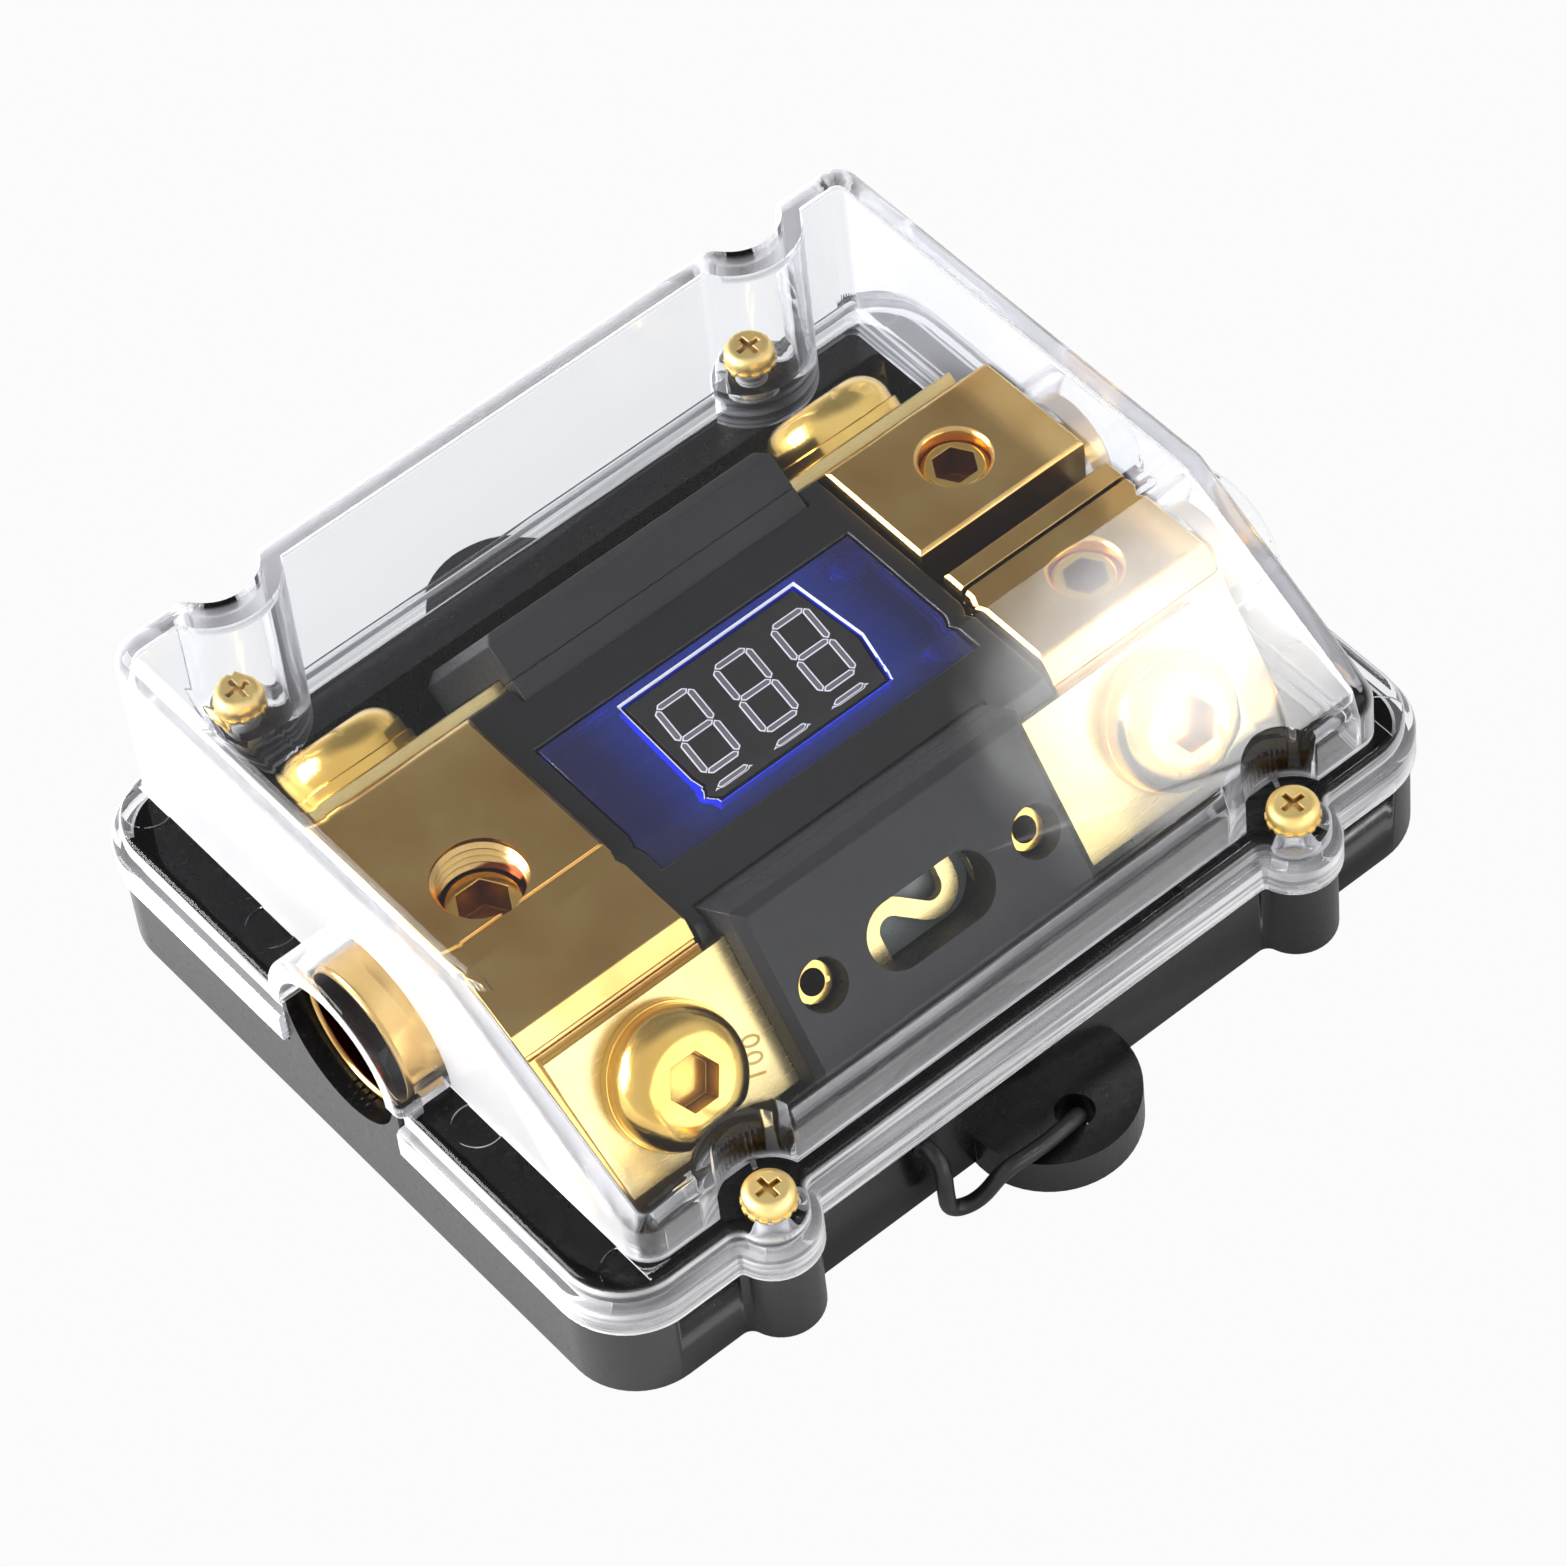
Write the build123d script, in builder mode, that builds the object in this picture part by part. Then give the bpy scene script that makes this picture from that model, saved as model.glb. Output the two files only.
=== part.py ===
# Twin fuse box with one heavy cable in, two lighter cables out and a small voltage display.
# Millimetres. X runs along the box, the heavy cable enters at -X. Y runs to the rear, Z is up.
# The origin is the middle of the underside.
import os
from math import cos, hypot, radians, sin, tan

from build123d import *

os.makedirs("parts", exist_ok=True)

# Slope that the fuses lie on, and the height of the blocks
block_top = 27.0
top_half_y = 15.8
slope_deg = 54.0
floor_z = 3.0
slope_run = cos(radians(slope_deg))
slope_fall = sin(radians(slope_deg))
slope_foot_y = top_half_y + (block_top - floor_z) / tan(radians(slope_deg))

# Display: the lens ends drive what lies beside it
lens_x0 = -19.0
lens_x1 = 20.1
lens_half_y = 9.4
lens_z = 25.3
lens_t = 2.2
board_t = 1.6
window_x0 = -10.35
window_x1 = 12.95
window_y0 = -6.8
window_y1 = 8.3
window_fit = 0.35
display_screw_x = lens_x1 - 2.2
display_screw_points = [(display_screw_x, 7.0), (display_screw_x, -6.2)]

# Terminal blocks, from the display outward
house_gap = 0.3
in_block_right = lens_x0 - 2.8
out_block_left = lens_x1 + 2.7
out_block_len = 21.2
block_end_x = out_block_left + out_block_len
out_rear_y = 1.4
out_front_y = -1.9
in_bore_r = 5.2
in_mouth_r = 6.9
in_snout_r = 7.8
out_bore_r = 4.2
out_mouth_r = 4.9
out_snout_r = 5.5
in_screw_x = 10.7 - block_end_x
out_screw_x = block_end_x - 10.6
out_rear_screw_y = top_half_y - 7.1
out_front_screw_y = 5.45 - top_half_y
in_thread_r = 4.8
out_thread_r = 3.6
in_thread_depth = 0.5
set_screw_len = 8.0
hold_down_points = [(in_screw_x, 14.0), (in_screw_x, -14.0), (out_screw_x, 20.0), (out_screw_x, -20.0)]

# Fuses, measured down the slope from its top edge
blade_v = 12.15
blade_w = 16.3
blade_t = 1.3
blade_left = 2.3 - block_end_x
blade_right = block_end_x - 4.7
body_left = in_block_right + 2.1
body_right = out_block_left - 6.9
body_v0 = 1.1
body_v1 = 23.1
body_half_t = 5.0
bolt_x = block_end_x - 13.0
bolt_head_r = 7.0
bolt_head_h = 4.0
washer_r = 7.3
washer_t = 1.2
eyelet_left = body_left + 4.9
eyelet_right = body_right - 4.2
window_x = (body_left + body_right) / 2 + 0.3
window_len = 15.0
window_w = 7.0
window_drop = 0.3
link_w = 1.9
link_r = 2.3
link_half_x = 5.0
link_corner = 4.2
link_drop = 0.6
link_end = window_w / 2 + 1.7

# Tray
end_wall = 6.8
side_wall = 6.5
well_half_x = block_end_x + 1.1
well_half_y = slope_foot_y + 1.363
tray_half_x = well_half_x + end_wall
tray_half_y = well_half_y + side_wall
tray_corner = 7.5
column_r = 4.2
column_blend = 1.2
screw_x = tray_half_x - 19.15
screw_y = tray_half_y - 0.38
step_z = 10.2
step_in = 1.7
ledge_z = step_z + 3.0
core_y0 = well_half_y + 2.0
core_y1 = tray_half_y - 2.2
core_top = 10.8
core_len = 16.0
ear_y = tray_half_y + 0.6
ear_hole_y = tray_half_y + 4.3
ear_r = 9.0
ear_hole_r = 2.0
ear_t = 4.5
snout_end_x = tray_half_x - 2.2
screw_points = [(screw_x, screw_y), (-screw_x, screw_y), (screw_x, -screw_y), (-screw_x, -screw_y)]
core_screw_r = 1.35

# Cover
skirt_z = step_z + 0.2
skirt_out = 0.6
skirt_gap = 0.3
band_z = ledge_z + 1.2
band_in = 0.5
flange_z = band_z + 2.4
roof_z = block_top + 11.0
shell_half_x = tray_half_x - 5.5
shell_t = 2.0
front_foot_y = 1.9 - tray_half_y
front_knee_z = flange_z + 6.2
ridge_y = -14.0
rear_wall_y = tray_half_y - 0.7
pocket_r = 4.9
cover_hole_r = 1.7
rim_cut_z = flange_z + 1.2
roof_cut_z = roof_z - shell_t - 1.4
side_cut_x = shell_half_x - shell_t - 0.8
bar_half_x = screw_x - 6.75
mark_x = shell_half_x + 0.8
mark_r = 2.6
mark_ys = (rear_wall_y - 3.8, 16.6, -15.4, 3.5 - tray_half_y)

# Cable entries
entry_z = flange_z + 0.4
in_hole_r = 8.2
in_arch_r = 10.4
out_hole_r = 5.9
out_arch_r = 7.8
arch_len = 10.0
upstand_t = 2.6
upstand_wall = 0.7
notch_gap = 0.3
entries = [
    (-1, 0.0, in_hole_r, in_arch_r),
    (1, out_rear_screw_y, out_hole_r, out_arch_r),
    (1, out_front_screw_y, out_hole_r, out_arch_r),
]

# Earth lead of the display
lead_r = 0.85
lead_x = -15.0
lead_z = 9.0
gland_hole_r = 1.1
gland_flange_r = 1.3
gland_flange_t = 0.4


def slope_plane(side, x=0.0, v=0.0, out=0.0):
    # A plane on the fuse slope: its X axis runs along the box, its Y axis runs up the slope.
    # side -1 is the front slope, +1 is the rear slope, which is the front one turned half round.
    y = -top_half_y - v * slope_run - out * slope_fall
    z = block_top - v * slope_fall + out * slope_run
    if side < 0:
        return Plane(origin=(x, y, z), x_dir=(1, 0, 0), z_dir=(0, -slope_fall, slope_run))
    return Plane(origin=(-x, -y, z), x_dir=(-1, 0, 0), z_dir=(0, slope_fall, slope_run))


def slope_y(z):
    # How far the slope stands from the middle of the box at a height
    return top_half_y + (block_top - z) / tan(radians(slope_deg))


def outline(half_x, half_y, corner, round_r):
    # The plan of the tray and the cover: a rounded rectangle that blends into four screw columns
    with BuildSketch(mode=Mode.PRIVATE) as plan:
        RectangleRounded(2 * half_x, 2 * half_y, corner)
        with Locations(*screw_points):
            Circle(round_r)
        meets = [
            p
            for p in plan.vertices()
            if min(abs(hypot(p.X - x, p.Y - y) - round_r) for x, y in screw_points) < 0.01
        ]
        fillet(meets, column_r + column_blend - round_r)
    return plan.sketch


def entry_plane(end, half_x):
    # A plane square to the cable entries of one end, facing inward; its X axis runs along +Y or -Y
    return Plane(origin=(end * half_x, 0, entry_z), x_dir=(0, 1, 0), z_dir=(-end, 0, 0))


def at_end(end):
    # Where the entries of one end stand on its entry plane, with their hole and arch radii
    return [(y, hole_r, arch_r) for side, y, hole_r, arch_r in entries if side == end]


def pan_screw(head_r, head_h, shank_r, shank_len, cross_w, cross_h):
    # A pan head screw with a cross recess, head underside at its own zero
    with BuildPart(mode=Mode.PRIVATE) as screw:
        with BuildSketch(Plane.XY):
            Circle(head_r)
        extrude(amount=head_h)
        fillet(screw.edges().group_by(Axis.Z)[-1], head_h * 0.55)
        with BuildSketch(Plane.XY):
            Circle(shank_r)
        extrude(amount=-shank_len)
        with BuildSketch(Plane.XY.offset(head_h)):
            Rectangle(cross_w, cross_h)
            Rectangle(cross_h, cross_w)
        extrude(amount=-head_h * 0.5, mode=Mode.SUBTRACT)
    return screw.part


def set_screw(radius, length, socket):
    # A headless screw with a hexagon socket, its top face at its own zero
    with BuildPart(mode=Mode.PRIVATE) as screw:
        with BuildSketch(Plane.XY):
            Circle(radius)
        extrude(amount=-length)
        chamfer(screw.edges(), 0.6)
        with BuildSketch(Plane.XY):
            RegularPolygon(socket / 2, 6, major_radius=False)
        extrude(amount=-length * 0.5, mode=Mode.SUBTRACT)
    return screw.part


# The black tray
with BuildPart() as base:
    with BuildSketch(Plane.XY):
        add(outline(tray_half_x, tray_half_y, tray_corner, column_r))
    extrude(amount=step_z)
    fillet(base.edges().group_by(Axis.Z)[0], 0.5)
    with BuildSketch(Plane.XY.offset(step_z)):
        add(outline(tray_half_x - step_in, tray_half_y - step_in, tray_corner - step_in, column_r - step_in))
    extrude(amount=ledge_z - step_z)
    # upstands round the lower half of each cable entry
    for end, y, hole_r, arch_r in entries:
        with BuildSketch(Plane.XY.offset(step_z)):
            with Locations((end * (tray_half_x - upstand_t / 2), y)):
                Rectangle(upstand_t, 2 * (hole_r + upstand_wall))
        extrude(amount=entry_z - step_z)
    # the two fixing ears, one at the front and one at the rear
    with BuildSketch(Plane.XY):
        with Locations((0, -ear_y), (0, ear_y)):
            Circle(ear_r)
        Rectangle(2 * tray_half_x, 2 * tray_half_y - 4, mode=Mode.SUBTRACT)
    extrude(amount=ear_t)
    with BuildSketch(Plane.XY):
        with Locations((0, -ear_hole_y), (0, ear_hole_y)):
            Circle(ear_hole_r)
    extrude(amount=ear_t + 1, mode=Mode.SUBTRACT)
    # the open well that the blocks and fuses stand in
    with BuildSketch(Plane.XY.offset(floor_z)):
        RectangleRounded(2 * well_half_x, 2 * well_half_y, 2.0)
    extrude(amount=20, mode=Mode.SUBTRACT)
    # round cable holes through the end walls
    for end in (-1, 1):
        with BuildSketch(entry_plane(end, tray_half_x + 1)):
            for y, hole_r, arch_r in at_end(end):
                with Locations((y, 0)):
                    Circle(hole_r)
        extrude(amount=end_wall + 2, mode=Mode.SUBTRACT)
    # coring pockets in the underside, under the front and rear ledges
    core_y = (core_y0 + core_y1) / 2
    with BuildSketch(Plane.XY):
        with Locations((19.0, core_y), (-19.0, core_y), (19.0, -core_y), (-2.0, -core_y)):
            Rectangle(core_len, core_y1 - core_y0)
    extrude(amount=core_top, mode=Mode.SUBTRACT)
    # pilot holes for the cover screws
    with BuildSketch(Plane.XY.offset(ledge_z)):
        with Locations(*screw_points):
            Circle(core_screw_r)
    extrude(amount=-8, mode=Mode.SUBTRACT)
    # counterbored holes for the screws that hold the blocks down
    with BuildSketch(Plane.XY):
        with Locations(*hold_down_points):
            Circle(2.2)
    extrude(amount=floor_z, mode=Mode.SUBTRACT)
    with BuildSketch(Plane.XY):
        with Locations(*hold_down_points):
            Circle(4.0)
    extrude(amount=1.6, mode=Mode.SUBTRACT)
    # hole in the front wall for the display's earth lead
    with BuildSketch(Plane.XZ.offset(well_half_y - 1)):
        with Locations((lead_x, lead_z)):
            Circle(gland_hole_r)
    extrude(amount=side_wall + 2, mode=Mode.SUBTRACT)
base.part.label = "base"

# The sloped box of the cover: flat roof to the rear, sloped front, every edge well rounded
with BuildPart() as cover_box:
    with BuildSketch(Plane.YZ.offset(-shell_half_x)):
        with BuildLine():
            Polyline(
                (front_foot_y, ledge_z),
                (front_foot_y, front_knee_z),
                (ridge_y, roof_z),
                (rear_wall_y, roof_z),
                (rear_wall_y, ledge_z),
                close=True,
            )
        make_face()
    extrude(amount=2 * shell_half_x)
    box_edges = [e for e in cover_box.edges() if e.center().Z > ledge_z + 0.1]
    fillet(box_edges, 3.0)

# The space inside the cover, kept clear of the screw pockets
with BuildPart() as cover_hollow:
    with BuildSketch(Plane.YZ.offset(-shell_half_x + shell_t)):
        with BuildLine():
            Polyline(
                (front_foot_y + shell_t, ledge_z - 1),
                (front_foot_y + shell_t, front_knee_z - 0.6),
                (ridge_y + 0.55, roof_z - shell_t),
                (rear_wall_y - shell_t, roof_z - shell_t),
                (rear_wall_y - shell_t, ledge_z - 1),
                close=True,
            )
        make_face()
    extrude(amount=2 * (shell_half_x - shell_t))
    hollow_edges = [e for e in cover_hollow.edges() if e.center().Z > ledge_z - 0.9]
    fillet(hollow_edges, 1.2)
    with BuildSketch(Plane.XY):
        with Locations(*screw_points):
            Circle(pocket_r + shell_t)
    extrude(amount=60, mode=Mode.SUBTRACT)

# The skirt that laps over the tray's rim, and the flange on it: two rounded bands
with BuildPart() as cover_skirt:
    with BuildSketch(Plane.XY.offset(skirt_z)):
        add(outline(tray_half_x + skirt_out, tray_half_y + skirt_out, tray_corner + skirt_out, column_r + skirt_out))
    extrude(amount=band_z - skirt_z)
    fillet(cover_skirt.edges().group_by(Axis.Z)[-1], 0.7)
    fillet(cover_skirt.edges().group_by(Axis.Z)[0], 0.3)

with BuildPart() as cover_flange:
    with BuildSketch(Plane.XY.offset(ledge_z)):
        add(outline(tray_half_x - band_in, tray_half_y - band_in, tray_corner - band_in, column_r - band_in))
    extrude(amount=flange_z - ledge_z)
    fillet(cover_flange.edges().group_by(Axis.Z)[-1], 0.9)

# The clear cover, one moulding: skirt, flange, sloped box, screw pockets and cable arches
with BuildPart() as cover:
    add(cover_skirt.part)
    add(cover_flange.part)
    add(cover_box.part)
    # room for the cover screws: channels in the rear wall, pockets in the front slope
    with BuildSketch(Plane.XY.offset(flange_z)):
        with Locations(*screw_points):
            Circle(pocket_r)
    extrude(amount=roof_z, mode=Mode.SUBTRACT)
    # cable arches on the end flanges, rounded at their outer rim
    for end, y, hole_r, arch_r in entries:
        with BuildPart(mode=Mode.PRIVATE) as arch:
            with BuildSketch(entry_plane(end, tray_half_x + skirt_out)):
                with Locations((y, 0)):
                    Circle(arch_r)
            extrude(amount=arch_len)
            rim = [e for e in arch.edges() if abs(e.center().X - end * (tray_half_x + skirt_out)) < 0.01]
            fillet(rim, 0.8)
            with BuildSketch(Plane.XY.offset(entry_z)):
                with Locations((end * tray_half_x, y)):
                    Rectangle(4 * arch_len, 3 * arch_r)
            extrude(amount=-2 * arch_r, mode=Mode.SUBTRACT)
        add(arch.part)
    # hollow under the flange for the tray's rim
    with BuildSketch(Plane.XY):
        add(
            outline(
                tray_half_x - step_in + skirt_gap,
                tray_half_y - step_in + skirt_gap,
                tray_corner - step_in + skirt_gap,
                column_r - step_in + skirt_gap,
            )
        )
    extrude(amount=ledge_z, mode=Mode.SUBTRACT)
    # hollow of the box, with the wall carried round the screw pockets
    add(cover_hollow.part, mode=Mode.SUBTRACT)
    # cable holes and the notches in the skirt below them
    for end, y, hole_r, arch_r in entries:
        with BuildSketch(entry_plane(end, tray_half_x + 1)):
            with Locations((y, 0)):
                Circle(hole_r)
        extrude(amount=arch_len, mode=Mode.SUBTRACT)
        with BuildSketch(Plane.XY):
            with Locations((end * (tray_half_x + 2 - (upstand_t + 2.3) / 2 + 0.15), y)):
                Rectangle(upstand_t + 2.3, 2 * (hole_r + upstand_wall + notch_gap))
        extrude(amount=entry_z, mode=Mode.SUBTRACT)
    # screw holes
    with BuildSketch(Plane.XY.offset(flange_z)):
        with Locations(*screw_points):
            Circle(cover_hole_r)
    extrude(amount=-10, mode=Mode.SUBTRACT)
    # ejector marks in the end flanges, each cut off by the foot of the end wall
    with BuildSketch(Plane.XY.offset(flange_z)):
        with Locations(*[(end * mark_x, y) for end in (-1, 1) for y in mark_ys]):
            Circle(mark_r)
        Rectangle(2 * shell_half_x, 2 * tray_half_y, mode=Mode.SUBTRACT)
    extrude(amount=-0.25, mode=Mode.SUBTRACT)

# The moulding is one piece. It is kept as eight solids that meet face to face, so that its collision stays open.
far = 2 * tray_half_x
cover_cuts = {
    "cover_rim_middle": ((-bar_half_x, -far, 0), (bar_half_x, far, rim_cut_z)),
    "cover_rim_left": ((-far, -far, 0), (-bar_half_x, far, rim_cut_z)),
    "cover_rim_right": ((bar_half_x, -far, 0), (far, far, rim_cut_z)),
    "cover_wall_left": ((-far, -far, rim_cut_z), (-side_cut_x, far, roof_cut_z)),
    "cover_wall_right": ((side_cut_x, -far, rim_cut_z), (far, far, roof_cut_z)),
    "cover_wall_front": ((-side_cut_x, -far, rim_cut_z), (side_cut_x, 0, roof_cut_z)),
    "cover_wall_rear": ((-side_cut_x, 0, rim_cut_z), (side_cut_x, far, roof_cut_z)),
    "cover_roof": ((-far, -far, roof_cut_z), (far, far, 2 * roof_z)),
}
cover_pieces = []
for cut_name, (low, high) in cover_cuts.items():
    with BuildPart() as cover_piece:
        add(cover.part)
        with Locations(tuple((a + b) / 2 for a, b in zip(low, high))):
            Box(*[b - a for a, b in zip(low, high)], mode=Mode.INTERSECT)
    cover_piece.part.label = cut_name
    cover_pieces.append(cover_piece)

# Cover screws and the toothed washers under their heads
washer_seat = flange_z
with BuildPart() as cover_washers:
    with BuildSketch(Plane.XY.offset(washer_seat)):
        with Locations(*screw_points):
            Circle(2.75)
            Circle(1.6, mode=Mode.SUBTRACT)
    extrude(amount=0.45)
    with BuildSketch(Plane.XY.offset(washer_seat)):
        with Locations(*screw_points):
            with PolarLocations(2.85, 14):
                Rectangle(0.5, 0.5)
    extrude(amount=0.45, mode=Mode.SUBTRACT)
cover_washers.part.label = "cover_washers"

with BuildPart() as cover_screws:
    one_screw = pan_screw(2.6, 1.7, core_screw_r - 0.08, 8.5, 2.7, 0.62)
    with Locations(*[(x, y, washer_seat + 0.45) for x, y in screw_points]):
        add(one_screw)
cover_screws.part.label = "cover_screws"

# Heavy input block: one brass piece that feeds both fuses
block_profile = [
    (-slope_y(floor_z), floor_z),
    (-top_half_y, block_top),
    (top_half_y, block_top),
    (slope_y(floor_z), floor_z),
]
with BuildPart() as input_block:
    with BuildSketch(Plane.YZ.offset(-block_end_x)):
        with BuildLine():
            Polyline(*block_profile, close=True)
        make_face()
    extrude(amount=block_end_x + in_block_right)
    # the front of the top is milled a little lower
    with BuildSketch(Plane.XY.offset(block_top)):
        with Locations((in_screw_x, -4.7 - top_half_y / 2)):
            Rectangle(30, top_half_y)
    extrude(amount=-0.35, mode=Mode.SUBTRACT)
    top_edges = [e for e in input_block.edges() if e.center().Z > block_top - 0.05 and e.center().Y > -3]
    chamfer(top_edges, 0.7)
    # snout for the cable
    with BuildSketch(Plane.YZ.offset(-block_end_x)):
        with Locations((0, entry_z)):
            Circle(in_snout_r)
    extrude(amount=-(snout_end_x - block_end_x))
    with BuildSketch(Plane.YZ.offset(-snout_end_x)):
        with Locations((0, entry_z)):
            Circle(in_mouth_r)
    extrude(amount=snout_end_x - block_end_x + 0.5, mode=Mode.SUBTRACT)
    mouth_edges = [e for e in input_block.edges() if abs(e.center().X + snout_end_x) < 0.01]
    chamfer(mouth_edges, 0.4)
    with BuildSketch(Plane.YZ.offset(-snout_end_x)):
        with Locations((0, entry_z)):
            Circle(in_bore_r)
    extrude(amount=snout_end_x + in_block_right - 2.7, mode=Mode.SUBTRACT)
    # hole for the set screw
    with BuildSketch(Plane.XY.offset(block_top)):
        with Locations((in_screw_x, 0)):
            Circle(in_thread_r)
    extrude(amount=-(block_top - entry_z), mode=Mode.SUBTRACT)
    # holes for the fuse bolts, square to the slopes
    for side in (-1, 1):
        with BuildSketch(slope_plane(side, side * bolt_x, blade_v)):
            Circle(3.4)
        extrude(amount=-9.0, mode=Mode.SUBTRACT)
        with BuildSketch(slope_plane(side, side * -in_screw_x, 3.2)):
            Rectangle(40, 0.5)
        extrude(amount=-0.35, mode=Mode.SUBTRACT)
    # holes for the screws from below
    with BuildSketch(Plane.XY.offset(floor_z)):
        with Locations(*hold_down_points[:2]):
            Circle(1.6)
    extrude(amount=7, mode=Mode.SUBTRACT)
input_block.part.label = "input_block"


def output_block(side, near_y, screw_y0):
    # side -1 is the front block, +1 is the rear one
    with BuildPart(mode=Mode.PRIVATE) as block:
        with BuildSketch(Plane.YZ.offset(out_block_left)):
            with BuildLine():
                Polyline(
                    (near_y, floor_z),
                    (near_y, block_top),
                    (side * top_half_y, block_top),
                    (side * slope_y(floor_z), floor_z),
                    close=True,
                )
            make_face()
        extrude(amount=block_end_x - out_block_left)
        rim = [e for e in block.edges() if e.center().Z > block_top - 0.05]
        chamfer(rim, 0.4)
        with BuildSketch(Plane.YZ.offset(block_end_x)):
            with Locations((screw_y0, entry_z)):
                Circle(out_snout_r)
        extrude(amount=snout_end_x - block_end_x)
        with BuildSketch(Plane.YZ.offset(snout_end_x)):
            with Locations((screw_y0, entry_z)):
                Circle(out_mouth_r)
        extrude(amount=block_end_x - 0.5 - snout_end_x, mode=Mode.SUBTRACT)
        mouth = [e for e in block.edges() if abs(e.center().X - snout_end_x) < 0.01]
        chamfer(mouth, 0.2)
        with BuildSketch(Plane.YZ.offset(snout_end_x)):
            with Locations((screw_y0, entry_z)):
                Circle(out_bore_r)
        extrude(amount=out_block_left + 4.2 - snout_end_x, mode=Mode.SUBTRACT)
        with BuildSketch(Plane.XY.offset(block_top)):
            with Locations((out_screw_x, screw_y0)):
                Circle(out_thread_r)
        extrude(amount=-(block_top - entry_z), mode=Mode.SUBTRACT)
        hole_rim = [
            e
            for e in block.edges().filter_by(GeomType.CIRCLE)
            if abs(e.center().Z - block_top) < 0.01 and abs(e.radius - out_thread_r) < 0.01
        ]
        chamfer(hole_rim, 0.4)
        with BuildSketch(slope_plane(side, -side * bolt_x, blade_v)):
            Circle(3.4)
        extrude(amount=-9.0, mode=Mode.SUBTRACT)
        with BuildSketch(slope_plane(side, -side * out_screw_x, 3.2)):
            Rectangle(40, 0.5)
        extrude(amount=-0.35, mode=Mode.SUBTRACT)
        with BuildSketch(Plane.XY.offset(floor_z)):
            with Locations(*[point for point in hold_down_points[2:] if point[1] * side > 0]):
                Circle(1.6)
        extrude(amount=7, mode=Mode.SUBTRACT)
        if side < 0:
            # groove that parts the narrow strip from the rest of the front block
            with BuildSketch(Plane.XY.offset(block_top)):
                with Locations((out_screw_x, out_front_screw_y + 5.55)):
                    Rectangle(24, 0.5)
            extrude(amount=-2.0, mode=Mode.SUBTRACT)
    return block.part


with BuildPart() as output_block_rear:
    add(output_block(1, out_rear_y, out_rear_screw_y))
output_block_rear.part.label = "output_block_rear"

with BuildPart() as output_block_front:
    add(output_block(-1, out_front_y, out_front_screw_y))
output_block_front.part.label = "output_block_front"

# Set screws that clamp the cables
with BuildPart() as input_set_screw:
    with Locations((in_screw_x, 0, entry_z - 2.0 + set_screw_len)):
        add(set_screw(in_thread_r - in_thread_depth, set_screw_len, 5.0))
input_set_screw.part.label = "input_set_screw"

with BuildPart() as output_set_screw_rear:
    with Locations((out_screw_x, out_rear_screw_y, entry_z + 0.6 + set_screw_len)):
        add(set_screw(out_thread_r - 0.05, set_screw_len, 4.2))
output_set_screw_rear.part.label = "output_set_screw_rear"

with BuildPart() as output_set_screw_front:
    with Locations((out_screw_x, out_front_screw_y, entry_z + 0.6 + set_screw_len)):
        add(set_screw(out_thread_r - 0.05, set_screw_len, 4.2))
output_set_screw_front.part.label = "output_set_screw_front"


# Each fuse: a blade strip with a thin waved link, two body halves, a pane and two eyelets
body_mid = (body_left + body_right) / 2
body_len = body_right - body_left
body_v = (body_v0 + body_v1) / 2
body_h = body_v1 - body_v0


def fuse_element(side):
    with BuildPart(mode=Mode.PRIVATE) as strip:
        with BuildSketch(slope_plane(side, 0, blade_v)):
            with Locations(((blade_left + blade_right) / 2, 0)):
                Rectangle(blade_right - blade_left, blade_w)
            with Locations((window_x, 0)):
                Rectangle(window_len, 2 * blade_w, mode=Mode.SUBTRACT)
            with Locations((-bolt_x, 0), (bolt_x, 0)):
                Circle(4.2, mode=Mode.SUBTRACT)
            with Locations((eyelet_left, 0), (eyelet_right, 0)):
                Circle(2.9, mode=Mode.SUBTRACT)
        extrude(amount=blade_t)
        # the waved link, and short necks under the body that join its ends to the blades
        neck_end = window_len / 2 + 0.8
        neck_x = (neck_end + link_half_x) / 2
        neck_len = neck_end - link_half_x + link_w
        low_x, high_x = window_x - link_half_x, window_x + link_half_x
        with BuildSketch(slope_plane(side, 0, blade_v)):
            with BuildLine():
                FilletPolyline(
                    (low_x, -link_end - link_drop),
                    (low_x, link_corner - link_drop),
                    (high_x, -link_corner - link_drop),
                    (high_x, link_end - link_drop),
                    radius=link_r,
                )
            trace(line_width=link_w)
            for turn in (-1, 1):
                with Locations((window_x + turn * neck_x, turn * link_end - link_drop)):
                    Rectangle(neck_len, link_w)
        extrude(amount=blade_t)
    return strip.part


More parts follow.
